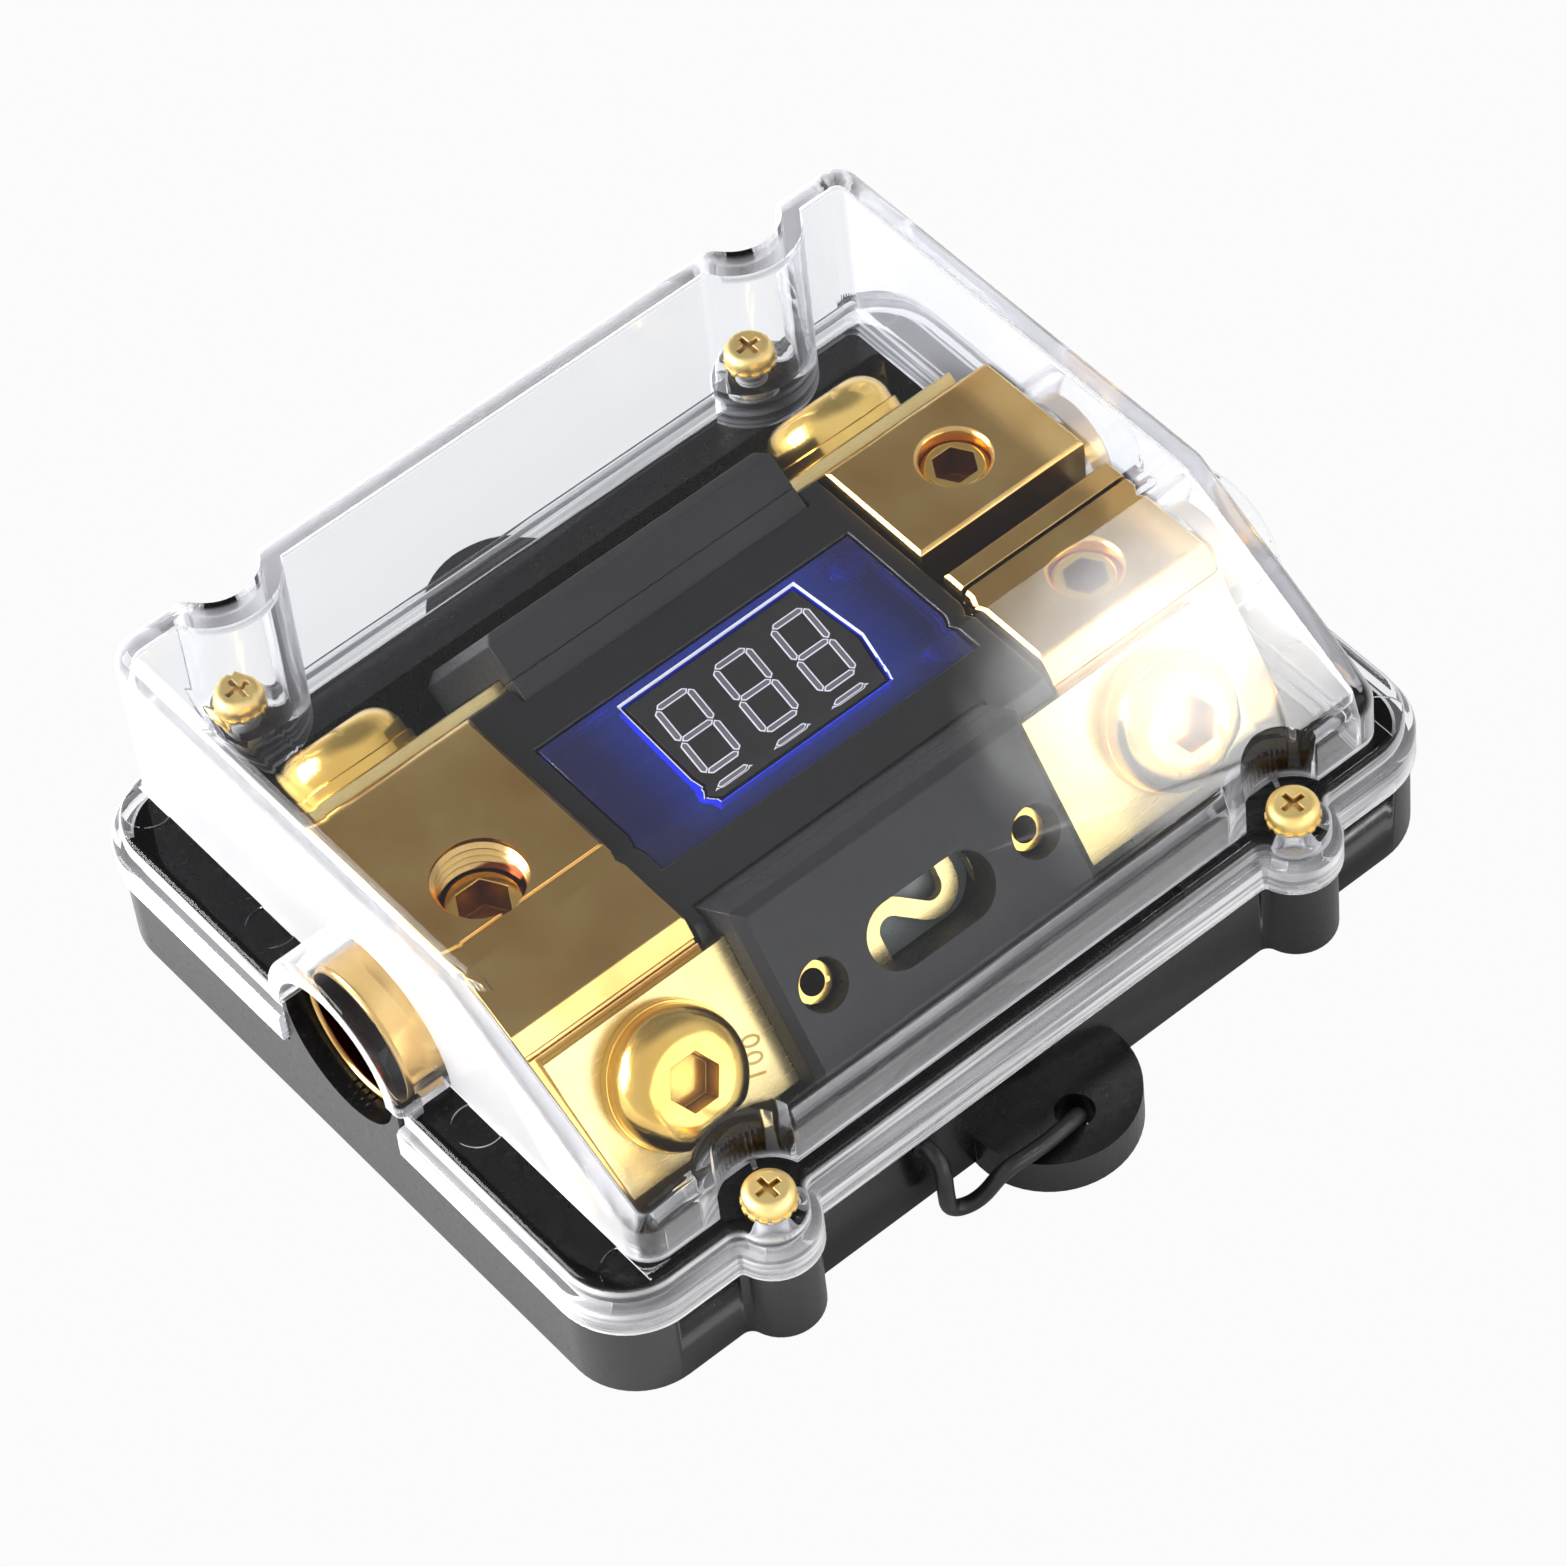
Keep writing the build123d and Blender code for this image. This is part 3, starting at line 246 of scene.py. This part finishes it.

# The metals. Tool lines are under 0.1 mm apart in reality and are drawn 0.2 to 0.3 mm wide to show.
# milled brass under gold: warm flat faces with faint lines across, copper brown painted as shade inside the bore
cableBoreShade = {"height": 17.2, "wall": (6.9, 7.2), "mouth": (-49.7, -49.4), "end": (-24.0, -23.0)}
brassBlock = platedMetal(
    "goldPlatedBrassMilled", "#CFA35E", "#E3C07C", rough=0.20, streak=0.18, depth=0.003,
    stretch=(1, 0.05, 1), bore=cableBoreShade,
)
# rolled strip under thin gold: paler, with the lines of the rolling
brassStrip = platedMetal(
    "goldPlatedStrip", "#CFB97E", "#DCC892", rough=0.26, streak=0.2, depth=0.0006, stretch=(0.05, 1, 1),
)
# turned and headed steel under bright gold: the sharpest, yellowest reflections
goldSteel = platedMetal("goldPlatedSteelTurned", "#E6B95E", "#F4D27C", rough=0.18, streak=0.3, depth=0.002)
# pressed screw heads and washers: the same gold on a duller skin
screwGold = platedMetal("goldPlatedScrewHeads", "#FFD883", "#FFE6A0", rough=0.44, streak=0.3, depth=0.002)
# zinc on steel: cool grey with a soft shine
zincSteel = platedMetal("zincPlatedSteel", "#C2CAD6", "#DDE4EE", rough=0.32, streak=0.3, depth=0.002)
# brass where the stamp has pressed the plating: darker as painted shade of the pressed-in figures, and duller
stampShade = platedMetal("stampedBrassShade", "#A88A4C", "#B99A5A", rough=0.4, streak=0.3, depth=0.002)

# moulded polycarbonate: clear, with a painted white sheen on its edges and skirt
clearCover = clearMoulding("clearMouldedPolycarbonate", "#FCFDFF", rough=0.012, sheen=0.42, skirtSheen=0.62)
# dyed cast acrylic: deep navy, with painted light glowing blue round its window
blueLens = tintedLens(
    "blueTintedAcrylic", "#4C4E96", "#5070FF", middle=(1.2, 0.7), glowX=(10.5, 16.5), glowY=(7.0, 9.8),
)
print("materials ready")


def straightView(tree):
    # 1 where the backdrop is looked at directly, through the clear cover or along inside its wall
    path = addNode(tree, "LightPath").outputs
    unmirrored = addNode(tree, "Math", (path["Glossy Depth"], 0.5), operation="LESS_THAN")
    insideWall = addNode(tree, "Math", (path["Transmission Depth"], 2.5), operation="LESS_THAN")
    either = addNode(tree, "Math", (unmirrored, insideWall), operation="MAXIMUM")
    through = addNode(tree, "Math", (path["Is Transmission Ray"], either), operation="MULTIPLY")
    return addNode(tree, "Math", (path["Is Camera Ray"], through), operation="MAXIMUM")


def paleFloor():
    material, tree = newMaterial("paleFloor")
    plain = addNode(tree, "BsdfDiffuse", {"Color": toLinear("#EDEDED")})
    white = addNode(tree, "Emission", {"Color": toLinear("#FBFBFB"), "Strength": 1.0})
    addNode(tree, "OutputMaterial", {"Surface": addNode(tree, "MixShader", (straightView(tree), plain, white))})
    bpy.ops.mesh.primitive_plane_add(size=4, location=(0, 0, -0.2 * mm))
    floor = bpy.context.object
    floor.name = "floor"
    floor.data.materials.append(material)


def studioRoom():
    # the room is pale, and darker up behind on the right, where the flat tops look
    spec = {"darkWay": (0.354, 0.515, 0.781), "bright": 0.85, "dark": 0.26}
    world = bpy.data.worlds.new("studio")
    scene.world = world
    world.use_nodes = True
    tree = world.node_tree
    tree.nodes.clear()
    way = addNode(tree, "TexCoord").outputs["Generated"]
    towards = addNode(tree, "VectorMath", (way, spec["darkWay"]), operation="DOT_PRODUCT").outputs["Value"]
    shade = addNode(
        tree, "MapRange", (towards, 0.55, 0.95, spec["bright"], spec["dark"]), interpolation_type="SMOOTHSTEP",
    )
    room = addNode(tree, "Background", {"Color": toLinear("#FFFFFF"), "Strength": shade})
    white = addNode(tree, "Background", {"Color": toLinear("#FBFBFB"), "Strength": 1.0})
    addNode(tree, "OutputWorld", {"Surface": addNode(tree, "MixShader", (straightView(tree), room, white))})


def softbox(spec):
    light = bpy.data.lights.new(spec["name"], "AREA")
    light.shape = "RECTANGLE"
    light.size = spec["width"]
    light.size_y = spec["height"]
    light.energy = spec["power"]
    lamp = bpy.data.objects.new(spec["name"], light)
    scene.collection.objects.link(lamp)
    way = Vector(spec["towards"]).normalized()
    lamp.location = Vector((0, 0, 20 * mm)) + way * spec["distance"]
    lamp.rotation_euler = way.to_track_quat("Z", "Y").to_euler()


def glareCard():
    # a small round lamp with a soft rim, mirrored by the right part of the cover's front slope
    spec = {"spot": (31.5, -27.5, 30.0), "normal": (0, -0.512, 0.859), "distance": 450, "radius": 42, "core": 4,
            "power": 54.0}
    spot = Vector(spec["spot"]) * mm
    toCamera = (Vector(view["place"]) - spot).normalized()
    normal = Vector(spec["normal"]).normalized()
    way = 2 * normal.dot(toCamera) * normal - toCamera
    bpy.ops.mesh.primitive_circle_add(vertices=64, radius=spec["radius"] * mm, fill_type="NGON")
    card = bpy.context.object
    card.name = "glareCard"
    card.location = spot + way * spec["distance"] * mm
    card.rotation_euler = way.to_track_quat("Z", "Y").to_euler()
    material, tree = newMaterial("softLampFace")
    place = addNode(tree, "TexCoord").outputs["Object"]
    reach = addNode(tree, "VectorMath", (place,), operation="LENGTH").outputs["Value"]
    fade = addNode(
        tree, "MapRange", (reach, spec["core"] * mm, spec["radius"] * mm * 0.97, spec["power"], 0.0),
        interpolation_type="SMOOTHSTEP",
    )
    # only the outside of the cover mirrors it, the metal inside doesn't
    path = addNode(tree, "LightPath").outputs
    outside = addNode(tree, "Math", (path["Transmission Depth"], 0.5), operation="LESS_THAN")
    power = addNode(tree, "Math", (fade, outside), operation="MULTIPLY")
    glow = addNode(tree, "Emission", {"Color": toLinear("#FFFFFF"), "Strength": power})
    both = addNode(tree, "AddShader", (glow, addNode(tree, "BsdfTransparent")))
    addNode(tree, "OutputMaterial", {"Surface": both})
    card.data.materials.append(material)
    card.visible_camera = False
    card.visible_diffuse = False
    card.visible_shadow = False


paleFloor()
studioRoom()
softbox({"name": "frontPanel", "towards": (0.30, -0.93, 0.30), "distance": 0.9, "width": 1.1, "height": 0.45,
         "power": 3.0})
softbox({"name": "leftPanel", "towards": (-0.80, 0.50, 0.35), "distance": 0.9, "width": 0.7, "height": 0.5,
         "power": 16.0})
glareCard()
print("stage ready")


def selectOnly(piece):
    bpy.ops.object.select_all(action="DESELECT")
    piece.select_set(True)
    bpy.context.view_layer.objects.active = piece


def applyModifiers(piece):
    selectOnly(piece)
    bpy.ops.object.convert(target="MESH")


def linked(name, data):
    piece = bpy.data.objects.new(name, data)
    scene.collection.objects.link(piece)
    return piece


def copied(nodeName, name):
    piece = linked(name, nodes[nodeName].data.copy())
    piece.data.name = name
    return piece


def united(nodeNames, name):
    # the cover is one moulding, so its solids are joined and the faces where they met go
    whole = copied(nodeNames[0], name)
    for nodeName in nodeNames[1:]:
        part = copied(nodeName, nodeName + "Part")
        weld = whole.modifiers.new("join", "BOOLEAN")
        weld.operation = "UNION"
        weld.solver = "EXACT"
        weld.object = part
        applyModifiers(whole)
        bpy.data.objects.remove(part)
    return whole


def refined(spec):
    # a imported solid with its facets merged, its edges broken and its material on
    names = spec["node"]
    if isinstance(names, str):
        names = [names]
    piece = united(names, spec["name"]) if len(names) > 1 else copied(names[0], spec["name"])
    selectOnly(piece)
    bpy.ops.object.mode_set(mode="EDIT")
    bpy.ops.mesh.select_all(action="SELECT")
    bpy.ops.mesh.remove_doubles(threshold=0.002 * mm)
    bpy.ops.mesh.dissolve_limited(angle_limit=math.radians(0.4))
    bpy.ops.object.mode_set(mode="OBJECT")
    if "edge" in spec:
        bevel = piece.modifiers.new("edge", "BEVEL")
        bevel.width = spec["edge"] * mm
        bevel.segments = 2
        bevel.limit_method = "ANGLE"
        bevel.angle_limit = math.radians(35)
        bevel.use_clamp_overlap = False
        applyModifiers(piece)
    selectOnly(piece)
    bpy.ops.object.shade_smooth_by_angle(angle=math.radians(32))
    flats = piece.modifiers.new("flats", "WEIGHTED_NORMAL")
    flats.keep_sharp = True
    flats.weight = 100
    applyModifiers(piece)
    piece.data.materials.clear()
    piece.data.materials.append(spec["material"])
    if "cutOut" in spec:
        # walls of the window are bright blue, its broken top edge a white line of painted glint
        left, right, front, rear, top = [value * mm for value in spec["cutOut"]]
        piece.data.materials.append(lensWall)
        piece.data.materials.append(lensRimGlint)
        for face in piece.data.polygons:
            middle = face.center
            if left < middle.x < right and front < middle.y < rear and abs(face.normal.z) < 0.97:
                face.material_index = 2 if middle.z > top else 1
    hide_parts(*names)
    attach(piece, spec.get("body", "tray"))


# each piece's node, material, slot, width of its broken edges in millimetres, and moving body
coverNodes = sorted(name for name in nodes if name.startswith(("cover_rim", "cover_wall", "cover_roof")))
pieceList = [
    {"name": "trayMoulding", "node": "base", "material": blackAbs, "slot": "black_plastic"},
    {"name": "coverMoulding", "node": coverNodes, "material": clearCover, "slot": "clear_plastic",
     "body": "cover_with_screws"},
    {"name": "coverScrewSet", "node": "cover_screws", "edge": 0.06, "material": screwGold, "slot": "gold_steel",
     "body": "cover_with_screws"},
    {"name": "coverWasherSet", "node": "cover_washers", "edge": 0.04, "material": screwGold, "slot": "gold_steel",
     "body": "cover_with_screws"},
    {"name": "inputTerminal", "node": "input_block", "edge": 0.12, "material": brassBlock, "slot": "gold_brass"},
    {"name": "rearOutputTerminal", "node": "output_block_rear", "edge": 0.10, "material": brassBlock,
     "slot": "gold_brass"},
    {"name": "frontOutputTerminal", "node": "output_block_front", "edge": 0.10, "material": brassBlock,
     "slot": "gold_brass"},
    {"name": "inputScrew", "node": "input_set_screw", "edge": 0.10, "material": goldSteel, "slot": "gold_steel",
     "body": "input_screw"},
    {"name": "rearOutputScrew", "node": "output_set_screw_rear", "edge": 0.08, "material": goldSteel,
     "slot": "gold_steel", "body": "rear_output_screw"},
    {"name": "frontOutputScrew", "node": "output_set_screw_front", "edge": 0.08, "material": goldSteel,
     "slot": "gold_steel", "body": "front_output_screw"},
    {"name": "frontFuseStrip", "node": "fuse_front_element", "edge": 0.08, "material": brassStrip,
     "slot": "gold_brass"},
    {"name": "rearFuseStrip", "node": "fuse_rear_element", "edge": 0.08, "material": brassStrip,
     "slot": "gold_brass"},
    {"name": "frontFuseShellOuter", "node": "fuse_front_shell_outer", "edge": 0.15, "material": fuseResin,
     "slot": "fuse_plastic"},
    {"name": "frontFuseShellInner", "node": "fuse_front_shell_inner", "edge": 0.15, "material": fuseResin,
     "slot": "fuse_plastic"},
    {"name": "rearFuseShellOuter", "node": "fuse_rear_shell_outer", "edge": 0.15, "material": fuseResin,
     "slot": "fuse_plastic"},
    {"name": "rearFuseShellInner", "node": "fuse_rear_shell_inner", "edge": 0.15, "material": fuseResin,
     "slot": "fuse_plastic"},
    {"name": "frontFusePane", "node": "fuse_front_pane", "edge": 0.05, "material": greyMica, "slot": "grey_pane"},
    {"name": "rearFusePane", "node": "fuse_rear_pane", "edge": 0.05, "material": greyMica, "slot": "grey_pane"},
    {"name": "frontFuseEyelets", "node": "fuse_front_eyelets", "edge": 0.06, "material": goldSteel,
     "slot": "gold_brass"},
    {"name": "rearFuseEyelets", "node": "fuse_rear_eyelets", "edge": 0.06, "material": goldSteel,
     "slot": "gold_brass"},
    {"name": "fuseBoltSet", "node": "fuse_bolts", "edge": 0.12, "material": goldSteel, "slot": "gold_steel"},
    {"name": "boltWasherSet", "node": "bolt_washers", "edge": 0.12, "material": goldSteel, "slot": "gold_steel"},
    {"name": "centreHousing", "node": "centre_housing", "edge": 0.25, "material": blackHousing,
     "slot": "black_plastic"},
    {"name": "displayBoard", "node": "display_board", "edge": 0.08, "material": boardMask, "slot": "board"},
    {"name": "displayModule", "node": "display_module", "edge": 0.10, "material": moduleFace,
     "slot": "module_plastic"},
    {"name": "displayLens", "node": "display_lens", "edge": 0.22, "material": blueLens, "slot": "blue_lens",
     "cutOut": (-10.8, 13.4, -7.25, 8.75, 25.04)},
    {"name": "displayScrewSet", "node": "display_screws", "edge": 0.05, "material": zincSteel,
     "slot": "zinc_steel"},
    {"name": "blockScrewSet", "node": "block_screws", "edge": 0.08, "material": zincSteel, "slot": "zinc_steel"},
    {"name": "leadGland", "node": "lead_gland", "edge": 0.10, "material": rubberBlack, "slot": "black_rubber"},
]
for pieceSpec in pieceList:
    refined(pieceSpec)
print("refined pieces", len(pieceList))


def editWhere(piece, test):
    # opens edit mode with only the vertices whose place passes the test
    bpy.ops.object.mode_set(mode="EDIT")
    bpy.ops.mesh.select_mode(type="VERT")
    bpy.ops.mesh.select_all(action="DESELECT")
    bpy.ops.object.mode_set(mode="OBJECT")
    for vertex in piece.data.vertices:
        vertex.select = test(vertex.co)
    bpy.ops.object.mode_set(mode="EDIT")


def threadRidge():
    # the thread that shows in the open hole over the input screw: a small section wound up the wall
    spec = {"x": -33.3, "low": 22.75, "pitch": 1.0, "turns": 201 / 56, "steps": 201, "wall": 4.80, "crest": 4.36,
            "root": 0.92, "tip": 0.12}
    middle = (spec["wall"] + spec["crest"]) / 2 * mm
    bpy.ops.object.select_all(action="DESELECT")
    bpy.ops.mesh.primitive_plane_add(size=1, location=(middle, 0, 0), rotation=(math.pi / 2, 0, 0))
    piece = bpy.context.object
    piece.name = piece.data.name = "inputThread"
    piece.scale = ((spec["wall"] - spec["crest"]) * mm, spec["root"] * mm, 1)
    bpy.ops.object.transform_apply()
    editWhere(piece, lambda place: place.x < middle)
    bpy.ops.transform.resize(
        value=(1, 1, spec["tip"] / spec["root"]), center_override=(spec["crest"] * mm, 0, 0),
    )
    bpy.ops.mesh.select_all(action="SELECT")
    bpy.ops.mesh.delete(type="ONLY_FACE")
    bpy.ops.object.mode_set(mode="OBJECT")
    winding = piece.modifiers.new("winding", "SCREW")
    winding.angle = 2 * math.pi * spec["turns"]
    winding.screw_offset = spec["pitch"] * spec["turns"] * mm
    winding.steps = winding.render_steps = spec["steps"]
    applyModifiers(piece)
    bpy.ops.object.mode_set(mode="EDIT")
    bpy.ops.mesh.select_all(action="SELECT")
    bpy.ops.mesh.fill_holes(sides=4)
    bpy.ops.mesh.normals_make_consistent(inside=False)
    bpy.ops.object.mode_set(mode="OBJECT")
    piece.location = (spec["x"] * mm, 0, spec["low"] * mm)
    bpy.ops.object.transform_apply()
    bpy.ops.object.shade_smooth_by_angle(angle=math.radians(30))
    piece.data.materials.append(brassBlock)
    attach(piece, "tray")


threadRidge()
print("thread ready")


def segmentBar(length, width, low, high):
    # a bar with pointed ends: a six-sided prism, narrowed and drawn out along Y
    bpy.ops.object.select_all(action="DESELECT")
    bpy.ops.mesh.primitive_cylinder_add(
        vertices=6, radius=width * mm, depth=(high - low) * mm, location=(0, 0, (low + high) / 2 * mm),
    )
    bar = bpy.context.object
    bpy.ops.object.transform_apply()
    editWhere(bar, lambda place: True)
    bpy.ops.transform.resize(value=(1 / math.sqrt(3), 1, 1), center_override=(0, 0, 0))
    for sign in (-1, 1):
        editWhere(bar, lambda place: place.y * sign > 0)
        bpy.ops.transform.translate(value=(0, sign * (length / 2 - width) * mm, 0))
    bpy.ops.object.mode_set(mode="OBJECT")
    return bar


def numerals():
    # each bar of a digit is a grey resin window with a paler rim
    spec = {"xs": (-6.1, 1.2, 8.45), "y": 0.85, "wide": 4.05, "tall": 9.4, "lean": 0.14, "face": 25.0}
    layers = [
        {"name": "numeralRims", "gap": 0.10, "width": 0.80, "low": -0.02, "high": 0.03, "material": segmentRim},
        {"name": "numeralWindows", "gap": 0.30, "width": 0.496, "low": 0.0, "high": 0.045, "material": segmentGrey},
    ]
    # the ends of the seven bars of an eight, in half widths and half heights from its middle
    eight = [
        ((-1, 1), (1, 1)), ((-1, 0), (1, 0)), ((-1, -1), (1, -1)),
        ((-1, 0), (-1, 1)), ((1, 0), (1, 1)), ((-1, -1), (-1, 0)), ((1, -1), (1, 0)),
    ]
    halfWide = Vector((spec["wide"] / 2, 0, 0))
    halfTall = Vector((spec["lean"], 1, 0)) * spec["tall"] / 2
    for layer in layers:
        bars = []
        for (u0, v0), (u1, v1) in eight:
            way = halfWide * (u1 - u0) + halfTall * (v1 - v0)
            length = way.length - 2 * layer["gap"]
            bar = segmentBar(length, layer["width"], spec["face"] + layer["low"], spec["face"] + layer["high"])
            middle = halfWide * (u0 + u1) / 2 + halfTall * (v0 + v1) / 2
            turn = Matrix.Rotation(math.atan2(-way.x, way.y), 4, "Z")
            for x in spec["xs"]:
                each = linked(layer["name"], bar.data.copy())
                each.data.transform(Matrix.Translation((middle + Vector((x, spec["y"], 0))) * mm) @ turn)
                bars.append(each)
            bpy.data.objects.remove(bar)
        selectOnly(bars[0])
        for each in bars:
            each.select_set(True)
        bpy.ops.object.join()
        piece = bars[0]
        piece.name = piece.data.name = layer["name"]
        piece.data.materials.append(layer["material"])
        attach(piece, "tray")


numerals()
print("numerals ready")


def stampedNumber():
    # the plain number stamped in the left end of the front fuse strip, read along the slope
    spec = {"text": "100", "size": 2.9, "raise": 0.03, "spacing": 1.15, "x": -22.55, "down": 18.3, "tilt": 17,
            "slope": 54, "slopeTop": (-15.8, 27.0), "stripFace": 1.31}
    slope = math.radians(spec["slope"])
    tilt = math.radians(spec["tilt"])
    curve = bpy.data.curves.new("stampedNumber", "FONT")
    curve.body = spec["text"]
    curve.size = spec["size"] * mm
    curve.extrude = spec["raise"] * mm
    curve.space_character = spec["spacing"]
    piece = linked("stampedNumber", curve)
    up = Vector((0, math.cos(slope), math.sin(slope)))
    across = Vector((1, 0, 0))
    out = Vector((0, -math.sin(slope), math.cos(slope)))
    advance = up * math.cos(tilt) + across * math.sin(tilt)
    rise = up * math.sin(tilt) - across * math.cos(tilt)
    textTurn = Matrix((advance, rise, out)).transposed().to_4x4()
    origin = Vector((spec["x"], *spec["slopeTop"])) - up * spec["down"] + out * spec["stripFace"]
    applyModifiers(piece)
    piece = bpy.context.object
    piece.data.transform(Matrix.Translation(origin * mm) @ textTurn)
    piece.data.materials.clear()
    # the darker brass is painted shade of the pressed-in figures
    piece.data.materials.append(stampShade)
    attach(piece, "tray")


stampedNumber()
print("stamp ready")


def earthLead():
    # a short black lead from the tray's wall to the ear's hole, along the same points as its solid
    spec = {
        "radius": 0.85,
        "points": [
            (-15.0, -41.5, 9.0), (-15.0, -43.1, 9.0), (-15.2, -44.2, 7.8), (-15.4, -44.5, 5.3), (-15.0, -44.2, 1.3),
            (-12.2, -45.4, 1.5), (-10.0, -46.8, 6.0), (-5.7, -47.1, 5.7), (-1.5, -46.9, 5.9), (0.3, -45.8, 4.2),
            (0.1, -45.4, 1.4),
        ],
    }
    curve = bpy.data.curves.new("earthLead", "CURVE")
    curve.dimensions = "3D"
    curve.bevel_depth = spec["radius"] * mm
    curve.bevel_resolution = 6
    curve.resolution_u = 12
    curve.use_fill_caps = True
    spline = curve.splines.new("NURBS")
    spline.points.add(len(spec["points"]) - 1)
    for knot, (x, y, z) in zip(spline.points, spec["points"]):
        knot.co = (x * mm, y * mm, z * mm, 1)
    spline.order_u = 3
    spline.use_endpoint_u = True
    piece = linked("earthLead", curve)
    curve.materials.append(rubberBlack)
    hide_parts("ground_lead")
    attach(piece, "tray")


earthLead()
print("lead ready")
